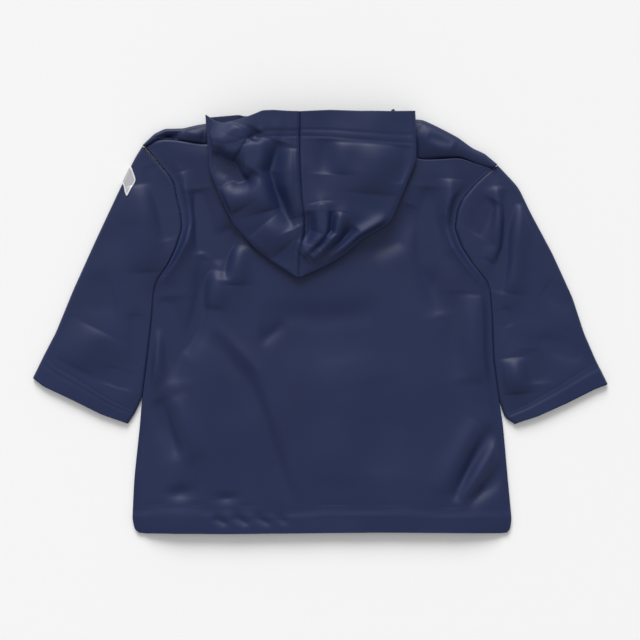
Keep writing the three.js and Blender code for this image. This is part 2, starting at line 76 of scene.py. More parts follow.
sleeves = {
    "left": {
        "outer": [
            (-184.2, 180.4), (-192, 168), (-209, 133), (-232, 84), (-256, 31), (-274, -13),
            (-286, -36), (-298, -60.5),
        ],
        "inner": [(-173.6, 38), (-175.4, 3), (-179.9, -39), (-185.4, -81), (-193, -97), (-200, -107.5)],
        "cuff": [(-298, -60.5), (-287, -69), (-257, -83), (-227, -98), (-200, -107.5)],
    },
    "right": {
        "outer": [
            (184.4, 160.4), (199, 145), (206, 137), (218, 112), (241, 69), (262, 23), (274, -14),
            (285.5, -40.5), (298.5, -67),
        ],
        "inner": [(177.2, 38), (179.4, 3), (180.6, -39), (186.4, -82), (192, -100), (203, -107.5)],
        "cuff": [(298.5, -67), (285, -72), (255, -87), (226, -100), (203, -107.5)],
    },
}
hoodRim = {
    "left": [
        (-21, 214.6), (-34, 215), (-48, 216), (-59, 215.5), (-73, 209.5), (-87.5, 205), (-100, 202.6),
        (-108, 205), (-118, 212),
    ],
    "right": [(-21, 214.6), (11, 216), (40, 215), (70, 215), (98, 216)],
}
hoodSide = {
    "left": [
        (-118, 212), (-116.5, 190), (-115, 170), (-114, 153), (-102, 124), (-89, 98), (-68, 75),
        (-49, 60), (-32, 49), (-24, 44.5),
    ],
    "right": [
        (98, 216), (99, 190), (99.5, 165), (89, 139), (79, 115), (73, 101), (59, 92), (44, 84),
        (27, 69), (10, 58), (-11, 48), (-20, 44.5),
    ],
}
hoodSeam = [(-21, 214.6), (-21, 170), (-19, 129), (-15.5, 101), (-15.5, 89), (-21, 70), (-22, 44.5)]

# Folds have the columns line, width, height and sharpness: a crest is +, a trough -, and 2 is a soft one.
bodyFolds = [
    ([(-129, 135), (-124, 100), (-118, 70)], 9, -3.0, 1.7),
    ([(-86, 95), (-100, 80), (-113, 63)], 7, -3.4, 1.5),
    ([(-113, 63), (-121, 42), (-124, 10), (-131, -14), (-143, -34)], 8, -3.4, 1.5),
    ([(-91.5, 84), (-97, 58), (-99, 42)], 5, -2.0, 1.6),
    ([(-86, 76), (-86, 37)], 9, 2.0, 2),
    ([(-106, 50), (-112, 12)], 9, 1.8, 2),
    ([(-147, 152), (-137, 123), (-135, 103), (-139, 82), (-156, 60), (-170, 46)], 7, 2.6, 1.8),
    ([(136, 146), (134, 110), (143, 78), (157, 60), (171, 46)], 7, 3.0, 1.7),
    ([(112, 138), (110, 100), (112, 63), (122, 5)], 10, -2.6, 1.8),
    ([(92, 120), (78, 84), (52, 70)], 9, -1.8, 2),
    ([(-58, 8), (0, 3), (58, 9)], 9, -0.75, 2),
    ([(-64, -14), (0, -20), (64, -13)], 22, -0.9, 2),
    ([(-37, -3), (-50, -14), (-62, -23)], 5, -1.2, 1.4),
    ([(-105, -9), (-82, -34), (-65, -52), (-52, -88), (-41, -124), (-21.5, -184)], 5, 1.3, 1.3),
    ([(-112, -16), (-90, -44), (-74, -62), (-58, -100), (-48, -132), (-28, -186)], 7, -1.1, 1.7),
    ([(-158, 24), (-155, -14), (-150, -66)], 12, -2.2, 2),
    ([(-168, -10), (-170, -66)], 7, 1.7, 2),
    ([(-167, -82), (-157, -112), (-145, -142)], 7, -2.4, 1.5),
    ([(-151, -80), (-141, -112), (-128, -146)], 9, 1.4, 2),
    ([(-145, -172), (-144, -186)], 9, -1.6, 2),
    ([(-97, -180), (-97, -188)], 8, -1.3, 2),
    ([(160, 26), (158, -20), (162, -64)], 13, 2.0, 2),
    ([(142, 30), (140, -20), (146, -60)], 12, -1.3, 2),
    ([(177.5, -112), (158, -148), (138, -186)], 6, -2.8, 1.4),
    ([(193, -152), (174, -172), (154, -190)], 5, -2.4, 1.4),
    ([(184, -128), (166, -156), (148, -186)], 7, 2.0, 1.8),
    ([(164, -106), (144, -142), (124, -180)], 9, 1.5, 2),
    ([(60, -60), (70, -110), (66, -160)], 20, -0.8, 2),
    ([(20, -40), (30, -100), (20, -170)], 22, 0.7, 2),
    ([(-110, -204), (-96, -212)], 3, -0.8, 2),
    ([(-90, -202), (-74, -212)], 3, -0.9, 2),
    ([(-68, -202), (-52, -212)], 3, -0.8, 2),
    ([(-46, -202), (-34, -211)], 3, -0.6, 2),
]
sleeveFolds = {
    "left": [
        ([(-176, 160), (-166, 123), (-156, 83)], 6, -2.2, 1.5),
        ([(-188, 140), (-182, 96), (-180, 50)], 13, 2.0, 2),
        ([(-192, 6), (-189, -22), (-186, -48)], 4, -2.0, 1.4),
        ([(-214, 28), (-244, 22)], 14, -1.0, 2),
        ([(-206, -50), (-212, -70)], 8, -1.8, 2),
        ([(-232, -10), (-252, -50)], 15, 1.3, 2),
    ],
    "right": [
        ([(181, 124), (170, 106), (159, 90)], 6, -2.8, 1.5),
        ([(183, 138), (186, 105), (185, 77), (178, 60)], 6, 3.2, 1.7),
        ([(196, 134), (192, 90), (190, 55), (187, 28)], 7, -3.4, 1.6),
        ([(208, 120), (203, 84), (197, 28)], 9, 2.6, 1.9),
        ([(234, 35), (248, 25), (263, 17)], 5, -1.6, 1.5),
        ([(227, -22), (250, -29), (271, -37)], 5, -1.4, 1.6),
        ([(186, 12), (189, -8)], 6, -2.2, 2),
        ([(202, -40), (205, -76)], 10, 2.4, 2),
        ([(222, -30), (224, -66)], 10, -1.2, 2),
    ],
}
hoodFolds = [
    ([(-113, 182), (-98, 181), (-84, 172)], 12, 4.5, 1.9),
    ([(-116, 168), (-103, 166), (-89, 156), (-82, 146), (-74, 144), (-67, 153)], 7, -6.0, 1.5),
    ([(-100, 138), (-86, 112)], 12, 2.2, 2),
    ([(-66, 186), (-66, 150), (-56, 112)], 13, 3.4, 2),
    ([(-42, 184), (-52, 153), (-46, 134), (-39, 118), (-27, 94)], 8, -4.6, 1.5),
    ([(-30, 176), (-31, 140), (-22, 106)], 7, 2.0, 2),
    ([(-60, 96), (-40, 72)], 12, 1.6, 2),
    ([(1, 121), (4, 100), (4.5, 87.5), (-6, 77), (-18, 66)], 6, 4.4, 1.5),
    ([(12, 112), (11, 92), (2, 80), (-10, 68)], 4.5, -3.4, 1.5),
    ([(22, 110), (17, 88), (6, 76), (-8, 62)], 5, 3.4, 1.6),
    ([(-10, 112), (-10, 92), (-16, 78)], 5, -2.4, 1.6),
    ([(36, 96), (22, 82), (4, 66)], 5, -2.4, 1.7),
    ([(70, 104), (44, 90), (26, 76), (8, 64)], 6, 2.6, 1.8),
    ([(6, 186), (4, 150)], 8, -1.2, 2),
    ([(24, 182), (22, 150)], 9, 1.0, 2),
    ([(60, 180), (56, 130)], 20, 1.8, 2),
    ([(86, 180), (84, 140)], 9, -1.4, 2),
    ([(-64, 196), (-70, 184)], 6, -1.8, 2),
    ([(-84, 200), (-88, 188)], 6, 1.8, 2),
]


def smooth(x, low, high):
    t = np.clip((np.asarray(x, float) - low) / (high - low), 0, 1)
    return t * t * (3 - 2 * t)


def lerp(a, b, t):
    return a + (b - a) * t


def softLine(points, rounded=True):
    # followed by its length from 0 to 1, with its corners slightly rounded
    p = np.array(points, float)
    at = np.concatenate([[0], np.cumsum(np.hypot(*np.diff(p, axis=0).T))])
    at /= at[-1]
    if rounded:
        fine = np.linspace(0, 1, 401)
        q = np.stack([np.interp(fine, at, p[:, k]) for k in (0, 1)], 1)
        for _ in range(60):
            q[1:-1] = 0.25 * q[:-2] + 0.5 * q[1:-1] + 0.25 * q[2:]
        p, at = q, fine
    return lambda t: np.stack([np.interp(t, at, p[:, 0]), np.interp(t, at, p[:, 1])], -1)


def panelPlan(near, far, start, end, nearFade=1.0, endFade=1.0):
    # the bow of the near edge, or of the end side, dies away inside the panel as its fade says
    a, b, c, d = near(0.0), near(1.0), far(0.0), far(1.0)

    def plan(u, v):
        uu, vv = u[..., None], v[..., None]
        nearLine, farLine = lerp(a, b, uu), lerp(c, d, uu)
        startLine, endLine = lerp(a, c, vv), lerp(b, d, vv)
        return (
            lerp(nearLine, farLine, vv)
            + (near(u) - nearLine) * (1 - vv) ** nearFade
            + (far(u) - farLine) * vv
            + (start(v) - startLine) * (1 - uu)
            + (end(v) - endLine) * uu ** endFade
        )

    return plan


folding = {"strength": 2.8, "spread": 1.3, "endHeight": 0.15, "fade": 0.6}


def foldHeight(folds, x, y):
    # the crest or trough fades out towards both ends of its line
    total = np.zeros_like(x)
    for points, width, height, sharpness in folds:
        line = np.array(points, float)
        lengths = np.hypot(*np.diff(line, axis=0).T)
        whole, before = lengths.sum(), 0.0
        away, share = np.full_like(x, 1e9), np.zeros_like(x)
        for (x0, y0), (x1, y1), length in zip(line, line[1:], lengths):
            t = np.clip(((x - x0) * (x1 - x0) + (y - y0) * (y1 - y0)) / length ** 2, 0, 1)
            here = np.hypot(x - x0 - t * (x1 - x0), y - y0 - t * (y1 - y0))
            share = np.where(here < away, (before + t * length) / whole, share)
            away = np.minimum(away, here)
            before += length
        bow = np.clip(4 * share * (1 - share), 0, 1) ** folding["fade"]
        fade = lerp(folding["endHeight"], 1, bow)
        section = np.exp(-((away / (width * folding["spread"])) ** sharpness))
        total += folding["strength"] * height * fade * section
    return total


def softCrumple(x, y, size, seed, height):
    # gentle unevenness: a few broad waves that don't repeat inside the coat
    rng = np.random.default_rng(seed)
    total = np.zeros_like(x)
    for _ in range(9):
        angle, phase = rng.uniform(0, math.pi), rng.uniform(0, 6.28, 2)
        pitch = size * rng.uniform(0.6, 1.7) / (2 * math.pi)
        cosine, sine = math.cos(angle), math.sin(angle)
        bend = 0.6 * np.sin((x * sine - y * cosine) / (2.3 * pitch) + phase[1])
        total += np.sin((x * cosine + y * sine) / pitch + phase[0] + bend)
    return height * total / 9


def roundOff(distance, radius):
    left = 1 - np.clip(distance / radius, 0, 1)
    return np.sqrt(1 - left * left)


def clothShell(name, grid, slot, ring=False, present=None, wall=None, riseBy=None):
    # a closed wall about a grid of points, as Solidify would make it, with its rims closed
    wall = cloth["wall"] if wall is None else wall
    rows, columns = grid.shape[:2]
    across = columns if ring else columns - 1
    j, i = np.meshgrid(np.arange(rows - 1), np.arange(across), indexing="ij")
    keep = np.ones(j.shape, bool) if present is None else present(i, j)
    nextI = (i + 1) % columns
    start, after = j * columns, (j + 1) * columns
    cells = np.stack([start + i, start + nextI, after + nextI, after + i], -1)[keep]
    points = grid.reshape(-1, 3)
    a, b, c, d = (points[cells[:, k]] for k in range(4))
    facing = np.cross(c - a, d - b)
    normals = np.zeros_like(points)
    for k in range(4):
        np.add.at(normals, cells[:, k], facing)
    normals /= np.maximum(np.linalg.norm(normals, axis=1, keepdims=True), 1e-12)
    thick = wall if riseBy is None else wall + riseBy.reshape(-1, 1)
    count = len(points)
    vertices = np.concatenate([points + normals * (thick - wall / 2), points - normals * wall / 2])
    faces = [cells, cells[:, ::-1] + count]
    edges = np.concatenate([cells[:, [k, (k + 1) % 4]] for k in range(4)])
    key = np.sort(edges, axis=1)
    _, first, uses = np.unique(key, axis=0, return_index=True, return_counts=True)
    rim = edges[first[uses == 1]]
    faces.append(np.stack([rim[:, 1], rim[:, 0], rim[:, 0] + count, rim[:, 1] + count], 1))
    faces = np.concatenate(faces)
    used, faces = np.unique(faces, return_inverse=True)
    mesh = bpy.data.meshes.new(name)
    mesh.from_pydata((vertices[used] * mm).tolist(), [], faces.reshape(-1, 4).tolist())
    mesh.update()
    mesh.shade_smooth()
    piece = bpy.data.objects.new(name, mesh)
    bpy.context.collection.objects.link(piece)
    piece.data.materials.append(materials[slot])
    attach(piece, body)
    print("made", name, len(faces), "faces")
    return piece


def steps(count, start=0.0, stop=1.0):
    return np.linspace(start, stop, count)


def shade(hexColour):
    channels = [int(hexColour[k:k + 2], 16) / 255 for k in (1, 3, 5)]
    return tuple(c / 12.92 if c <= 0.04045 else ((c + 0.055) / 1.055) ** 2.4 for c in channels) + (1.0,)


def addNode(tree, kind, settings=None, values=None, links=None):
    node = tree.nodes.new(kind)
    for key, value in (settings or {}).items():
        setattr(node, key, value)
    for key, value in (values or {}).items():
        node.inputs[key].default_value = value
    for key, source in (links or {}).items():
        tree.links.new(source, node.inputs[key])
    return node


def newMaterial(name):
    material = bpy.data.materials.new(name)
    material.use_nodes = True
    material.node_tree.nodes.clear()
    return material, material.node_tree


def mathNode(tree, operation, first, second=None):
    values = {k: v for k, v in enumerate((first, second)) if isinstance(v, float)}
    links = {k: v for k, v in enumerate((first, second)) if isinstance(v, bpy.types.NodeSocket)}
    return addNode(tree, "ShaderNodeMath", {"operation": operation}, values, links).outputs[0]


def noise(tree, place, wave, detail=2.0):
    values = {"Scale": 1000 / wave, "Detail": detail}
    return addNode(tree, "ShaderNodeTexNoise", values=values, links={"Vector": place}).outputs["Fac"]


def grainCells(tree, place, wave):
    values = {"Scale": 1000 / wave}
    return addNode(tree, "ShaderNodeTexVoronoi", values=values, links={"Vector": place}).outputs["Distance"]


def bumps(tree, strength, depth, height):
    values = {"Strength": strength, "Distance": depth}
    return addNode(tree, "ShaderNodeBump", values=values, links={"Height": height}).outputs["Normal"]


def skin(tree, values, links):
    shader = addNode(tree, "ShaderNodeBsdfPrincipled", values=values, links=links)
    addNode(tree, "ShaderNodeOutputMaterial", links={"Surface": shader.outputs["BSDF"]})


fabric = {
    "deep": "#0c1c46", "lit": "#10214b", "roughness": 0.53,
    "grainMm": 0.9,  # the coating's grain is near 0.3 mm, drawn coarser so that it shows
    "grainDepth": 0.00006, "mottleMm": 60, "sheen": 0.03,
}


def coatedCloth():
    # polyurethane-coated knit: a soft satin skin over cloth, which gives broad dull highlights
    material, tree = newMaterial("coated_cloth")
    place = addNode(tree, "ShaderNodeTexCoord").outputs["Object"]
    mottle = noise(tree, place, fabric["mottleMm"], 3.0)
    tint = addNode(tree, "ShaderNodeValToRGB", links={"Fac": mottle})
    for stop, position, colour in zip(tint.color_ramp.elements, (0.3, 0.7), ("deep", "lit")):
        stop.position, stop.color = position, shade(fabric[colour])
    knit = grainCells(tree, place, 1.6 * fabric["grainMm"])
    grain = mathNode(tree, "ADD", noise(tree, place, fabric["grainMm"]), knit)
    spread = {"To Min": fabric["roughness"] - 0.05, "To Max": fabric["roughness"] + 0.06}
    rough = addNode(tree, "ShaderNodeMapRange", values=spread, links={"Value": mottle})
    skin(tree, {"IOR": 1.45, "Sheen Weight": fabric["sheen"], "Sheen Roughness": 0.5}, {
        "Base Color": tint.outputs["Color"], "Roughness": rough.outputs["Result"],
        "Normal": bumps(tree, 0.5, fabric["grainDepth"], grain),
    })
    return material


tape = {
    "width": 31.0, "height": 19.4, "beadMm": 1 / 0.9,
    "border": "#dcdcdf", "weld": "#9a9ba2", "silver": "#b7b7bc",
    "borderEnd": 0.2, "weldMiddle": 0.26, "silverStart": 0.34,  # cm in from the tape's edge
}


def reflectiveTape():
    # silver glass-bead tape: grey, faintly sparkling, with a paler welded border
    material, tree = newMaterial("reflective_patch")
    place = addNode(tree, "ShaderNodeTexCoord").outputs
    split = addNode(tree, "ShaderNodeSeparateXYZ", links={"Vector": place["UV"]}).outputs
    edges = []
    for axis, size in (("X", tape["width"]), ("Y", tape["height"])):
        fromMiddle = mathNode(tree, "ABSOLUTE", mathNode(tree, "SUBTRACT", split[axis], 0.5))
        edges.append(mathNode(tree, "MULTIPLY", mathNode(tree, "SUBTRACT", 0.5, fromMiddle), size / 10))
    border = addNode(tree, "ShaderNodeValToRGB", links={"Fac": mathNode(tree, "MINIMUM", *edges)})
    ramp = border.color_ramp
    ramp.elements[0].position, ramp.elements[0].color = tape["borderEnd"], shade(tape["border"])
    ramp.elements[1].position, ramp.elements[1].color = tape["silverStart"], shade(tape["silver"])
    ramp.elements.new(tape["weldMiddle"]).color = shade(tape["weld"])
    beads = grainCells(tree, place["Object"], tape["beadMm"])
    skin(tree, {"Roughness": 0.4, "Metallic": 0.15}, {
        "Base Color": border.outputs["Color"], "Normal": bumps(tree, 0.3, 0.00005, beads),
    })
    return material


def plainFinish(name, colour, roughness, grainMm, depth):
    material, tree = newMaterial(name)
    place = addNode(tree, "ShaderNodeTexCoord").outputs["Object"]
    normal = bumps(tree, 0.3, depth, noise(tree, place, grainMm))
    skin(tree, {"Base Color": shade(colour), "Roughness": roughness}, {"Normal": normal})
    return material


materials = {
    "coated_cloth": coatedCloth(),
    "reflective_patch": reflectiveTape(),
    # baked lacquer on brass, smooth and glossy
    "snap_lacquer": plainFinish("snap_lacquer", "#1d2848", 0.28, 3, 0.00003),
    # spun polyester thread, a shade lighter than the cloth
    "thread": plainFinish("thread", "#333f68", 0.6, 0.6, 0.0001),
}
stitchLines = []  # each row of stitches, as points on the cloth


def sew(points):
    stitchLines.append(points)


sectionY = np.array([row[0] for row in bodySections], float)


def sideAt(y, column):
    return np.interp(y, sectionY, [row[column] for row in bodySections])


def sideLine(column, corner):
    rows = [(row[column], row[0]) for row in bodySections] + [corner]
    count = len(rows) - 1
    fine = np.linspace(0, count, 501)
    q = np.stack([np.interp(fine, range(count + 1), [r[k] for r in rows]) for k in (0, 1)], 1)
    for _ in range(40):
        q[1:-1] = 0.25 * q[:-2] + 0.5 * q[1:-1] + 0.25 * q[2:]
    return lambda v: np.stack([np.interp(v, fine / count, q[:, 0]), np.interp(v, fine / count, q[:, 1])], -1)


hemLine = {"y": -220.5, "stitches": (20.0, 27.0), "fold": 20.5, "wave": 1.4, "groove": 0.45, "width": 1.1}


def hemY(x, distance):
    return hemLine["y"] + distance + hemLine["wave"] * (np.sin(x / 31.0) + 0.5 * np.sin(x / 13.0 + 1))


def grooves(y, x):
    total = np.zeros_like(x)
    for distance in hemLine["stitches"]:
        total -= hemLine["groove"] * np.exp(-(((y - hemY(x, distance)) / hemLine["width"]) ** 2))
    return total


torso = {
    "hem": [(-188, -219.5), (-100, -220.5), (64, -219.6), (194, -221)],
    "level": 8.7, "slope": 60, "sideLevel": 1.95, "armholeLevel": 4.5,
    "underHood": 8.9, "underSeam": 7.0,  # the highest that it lies where another piece covers it
}


def bodyHeight(place, inset):
    x, y = place[..., 0], place[..., 1]
    edge = lerp(torso["sideLevel"], torso["armholeLevel"], smooth(y, 30, 60))
    rise = 1 - (1 - np.clip(inset / torso["slope"], 0, 1)) ** 2
    inside = smooth(inset, 0, 12)
    crumple = softCrumple(x, y, 95, 4, 0.9) + softCrumple(x, y, 38, 9, 0.2)
    level = lerp(edge, torso["level"], rise) + (foldHeight(bodyFolds, x, y) + crumple) * inside
    lowest = lerp(edge, placket["clearLevel"], 1 - smooth(np.abs(x - placket["middle"]), 28, 44))
    level = lowest + np.logaddexp(0, (level - lowest) * 3) / 3 * inside  # settles softly on the fronts
    covered = smooth(y - 50 - 0.9 * np.abs(x + 18), 0, 25) * (1 - smooth(np.abs(x + 10), 96, 108))
    level = lerp(level, np.minimum(level, torso["underHood"]), covered)
    level = lerp(level, np.minimum(level, torso["underSeam"]), smooth(y, 168, 186))
    return level + grooves(y, x) * smooth(inset, 0, 4)


leftSide, rightSide = sideLine(1, backTop[0]), sideLine(2, backTop[-1])
backPlan = panelPlan(softLine(torso["hem"]), softLine(backTop), leftSide, rightSide)


def backPoints(u, v):
    place = backPlan(u, v)
    width = rightSide(v)[..., 0] - leftSide(v)[..., 0]
    inset = np.minimum(u, 1 - u) * width
    return np.concatenate([place, bodyHeight(place, inset)[..., None]], -1)


def edgeSteps(count):
    t = steps(count)
    return lerp(t, 0.5 - 0.5 * np.cos(math.pi * t), 0.55)


v, u = np.meshgrid(steps(185), edgeSteps(175), indexing="ij")
backGrid = backPoints(u, v)
# the hem is turned, so it is two layers
hemFold = 0.8 * smooth(hemY(backGrid[..., 0], hemLine["fold"]) - backGrid[..., 1], -0.8, 0.8)
back = clothShell("back_cloth", backGrid, "coated_cloth", riseBy=hemFold)
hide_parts("back")


def necklineY(x):
    past = np.maximum(0, np.abs(x - throat["middle"]) - placket["reach"])
    return throat["neckY"] + throat["neckRise"] * (past / (throat["side"] - placket["reach"])) ** 1.4


roll = {"gap": 0.7, "top": 7.4, "seamLevel": 4.6, "neckShare": 0.4, "radius": 3.6}
seams = {"left": backTop[4::-1], "right": backTop[7:]}


def makeFront(side):
    outward = -1 if side == "left" else 1
    rollLine = softLine(rolls[side])
    seamLine = softLine([(x, y + roll["gap"]) for x, y in seams[side]])
    column = 1 if side == "left" else 2
    edgeX = placket["middle"] - outward * placket["reach"]
    level = placket["outerLevel"] if side == "left" else placket["innerLevel"]

    def across(t):
        outer, inner = rollLine(t), seamLine(t)
        width = np.linalg.norm(inner - outer, axis=-1, keepdims=True)
        return outer, inner, np.minimum(roll["radius"], 0.42 * width), (inner - outer) / width

    def rollStart(t):
        outer, _, radius, toSeam = across(t)
        return outer + toSeam * radius

    neckX, neckEnd = float(rollStart(0.0)[0]), rollStart(0.0)
    neckXs = np.linspace(edgeX, neckX, 40)
    neckYs = necklineY(neckXs)
    neckYs[-1] = neckEnd[1]
    share = roll["neckShare"]

    def top(u):
        u = np.asarray(u, float)[..., None]
        x = lerp(edgeX, neckX, u / share)
        low = np.concatenate([x, np.interp(x * outward, neckXs * outward, neckYs)], -1)
        high = rollStart(np.clip((u[..., 0] - share) / (1 - share), 0, 1))
        return np.where(u < share, low, high)

    def hem(u):
        u = np.asarray(u, float)
        hemCorner = bodySections[0][column]
        beyond = lerp(neckX, hemCorner, (u - share) / (1 - share))
        x = np.where(u < share, lerp(edgeX, neckX, u / share), beyond)
        return np.stack([x, np.full_like(x, hemLine["y"])], -1)

    def centreEdge(v):
        v = np.asarray(v, float)
        rows = [row[0] for row in bodySections] + [throat["neckY"]]
        y = np.interp(v * (len(rows) - 1), range(len(rows)), rows)
        return np.stack([np.full_like(y, edgeX), y], -1)

    plan = panelPlan(hem, top, centreEdge, sideLine(column, tuple(rollStart(1.0))), endFade=3)
    flatRows, neckColumns, rollColumns = 60, 30, 60
    shares = np.concatenate([steps(neckColumns + 1, 0, share)[:-1], steps(rollColumns, share, 1)])
    v, u = np.meshgrid(steps(flatRows), shares, indexing="ij")
    place = plan(u, v)
    past = (place[..., 0] - placket["middle"]) * outward
    start = placket["reach"] + 1
    flat = lerp(level, cloth["flatLevel"], smooth(past, start, start + placket["ramp"]))
    rows = [np.concatenate([place, flat[..., None]], -1)]
    outer, inner, radius, toSeam = across(np.clip((shares - share) / (1 - share), 0, 1))
    rise = (roll["top"] - cloth["flatLevel"]) / 2
    for turn in steps(15)[1:]:
        angle = (turn - 0.5) * math.pi
        place = outer + toSeam * radius * (1 - math.cos(angle))
        z = np.full(len(shares), cloth["flatLevel"] + rise * (1 + math.sin(angle)))
        rows.append(np.concatenate([place, z[:, None]], -1)[None])
    begin = outer + toSeam * radius
    width = np.linalg.norm(inner - begin, axis=-1)
    for step in steps(25)[1:]:
        place = lerp(begin, inner, step)
        swell = 2.2 * math.sin(math.pi * step ** 0.8) * smooth(width, 6, 26)
        ripple = foldHeight(shoulderFolds, place[:, 0], place[:, 1]) * min(1, 6 * (1 - step))
        z = lerp(roll["top"], roll["seamLevel"], step ** 3) + swell + ripple * smooth(width, 2, 8)
        rows.append(np.concatenate([place, z[:, None]], -1)[None])
    grid = np.concatenate(rows)

    def present(i, j):
        return (j < flatRows - 1) | (i >= neckColumns)  # only the shoulder part rolls over

    piece = clothShell(f"front_{side}_cloth", grid, "coated_cloth", present=present)
    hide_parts(f"front_{side}")
    return piece


shoulderFolds = [
    ([(-170, 190), (-155, 190), (-148, 194)], 3.5, -2.2, 1.5),
    ([(-140, 194), (-122, 190)], 5, 1.2, 2),
    ([(104, 196), (124, 182), (140, 176)], 8, 1.4, 2),
    ([(112, 190), (136, 180)], 4, -0.9, 2),
]
fronts = {side: makeFront(side) for side in ("left", "right")}


patch = {"reach": 15.5, "start": 0.089, "end": 0.163, "corner": 3.2, "wall": 0.7, "clearance": 0.25}
cuff = {"armLength": 262.0, "stitches": (18.5, 25.0), "groove": 0.45, "width": 1.1, "fold": 19.2}


class Sleeve:
    def __init__(self, side):
        self.side = side
        self.outward = -1 if side == "left" else 1
        table = sleeves[side]
        column = 1 if side == "left" else 2
        top = 160 if side == "left" else 156
        seam = [(row[column] + self.outward * 0.4, row[0]) for row in bodySections if 40 < row[0] < top]
        self.outer, self.inner = softLine(table["outer"]), softLine(table["inner"])
        armhole = softLine([table["outer"][0]] + seam[::-1] + [table["inner"][0]])
        self.plan = panelPlan(armhole, softLine(table["cuff"]), self.outer, self.inner, nearFade=14)
        self.length = cuff["armLength"]

    def place(self, u, v, upper):
        place = self.plan(u, v)
        ends = self.plan(np.ones_like(v), v) - self.plan(np.zeros_like(v), v)
        width = np.linalg.norm(ends, axis=-1)
        inset = np.minimum(u, 1 - u) * width
        level = cloth["flatLevel"] + cloth["sleeveRise"]
        turned = cloth["sleeveRise"] * roundOff(inset, cloth["foldRadius"])
        if not upper:
            return np.concatenate([place, (level - turned)[..., None]], -1)
        x, y = place[..., 0], place[..., 1]
        puff = cloth["sleevePuff"] * (1 - (1 - np.clip(inset / 40, 0, 1)) ** 2)
        crumple = softCrumple(x, y, 80, 21, 1.1) + softCrumple(x, y, 34, 5, 0.25)
        folds = (foldHeight(sleeveFolds[self.side], x, y) + crumple) * smooth(inset, 0, 13)
        fromCuff = (1 - v) * self.length
        for distance in cuff["stitches"]:
            folds = folds - cuff["groove"] * np.exp(-(((fromCuff - distance) / cuff["width"]) ** 2))
        lift = puff + folds
        lift = 0.3 + np.logaddexp(0, (lift - 0.3) * 2) / 2  # settles softly on the layer beneath
        z = level + turned + lift * np.clip(inset / cloth["foldRadius"], 0, 1)
        return np.concatenate([place, z[..., None]], -1)

    def make(self):
        across = edgeSteps(95)
        v, u = np.meshgrid(steps(150), across, indexing="ij")
        upper = self.place(u, v, True)
        v2, u2 = np.meshgrid(steps(150), edgeSteps(50)[::-1][1:-1], indexing="ij")
        grid = np.concatenate([upper, self.place(u2, v2, False)], 1)
        hem = np.zeros(grid.shape[:2])
        hem[:, :] = 0.7 * smooth(cuff["fold"] - (1 - v[:, :1]) * self.length, -0.8, 0.8)
        hem[:, len(across):] = 0
        hem[:, :3] *= 0.3
        piece = clothShell(f"sleeve_{self.side}_cloth", grid, "coated_cloth", ring=True, riseBy=hem)
        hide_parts(f"sleeve_{self.side}")
        return piece


sleeveShapes = {side: Sleeve(side) for side in ("left", "right")}
sleevePieces = {side: shape.make() for side, shape in sleeveShapes.items()}


def makePatch():
    shape = sleeveShapes["left"]
    v = steps(30, patch["start"], patch["end"])
    width = np.linalg.norm(shape.plan(np.ones_like(v), v) - shape.plan(np.zeros_like(v), v), axis=-1)
    s = steps(61, -0.08, 1)
    length = (patch["end"] - patch["start"]) * shape.length
    ends = np.minimum(np.arange(len(v)), np.arange(len(v))[::-1]) / (len(v) - 1) * length
    corner = patch["corner"]
    cut = corner - np.sqrt(np.maximum(0, corner ** 2 - np.maximum(0, corner - ends) ** 2))
    reach = (patch["reach"] - cut)[:, None]
    fromFold = np.sign(s) * np.abs(s) ** 1.4 * reach  # closer together at the fold
    u, along = np.abs(fromFold) / width[:, None], np.repeat(v[:, None], len(s), 1)
    upper, lower = shape.place(u, along, True), shape.place(u, along, False)
    grid = np.where((s >= 0)[None, :, None], upper, lower)
    normals = np.cross(np.gradient(grid, axis=1), np.gradient(grid, axis=0))
    normals /= np.linalg.norm(normals, axis=-1, keepdims=True)
    if normals[15, -3, 2] < 0:
        normals = -normals
    middle = grid + normals * (cloth["wall"] / 2 + patch["clearance"] + patch["wall"] / 2)
    piece = clothShell("arm_patch_tape", middle, "reflective_patch", wall=patch["wall"])
    across = 0.5 + 0.5 * fromFold / patch["reach"]
    spots = np.stack([across, np.repeat(steps(len(v))[:, None], len(s), 1)], -1).reshape(-1, 2)
    uv = piece.data.uv_layers.new(name="UVMap")
    count = len(spots)
    for loop in piece.data.loops:
        uv.data[loop.index].uv = spots[loop.vertex_index % count]
    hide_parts("arm_patch")
    return piece


patchPiece = makePatch()


rimLine = {"hoodLength": 172, "stitches": (19.0, 25.5), "groove": 0.5, "width": 1.1, "fold": 19.6}
crown = {
    "groove": 1.5, "width": 1.6, "topstitch": 6.0, "topGroove": 0.45, "topWidth": 1.0,
    "lowest": -1, "highest": 13,
}


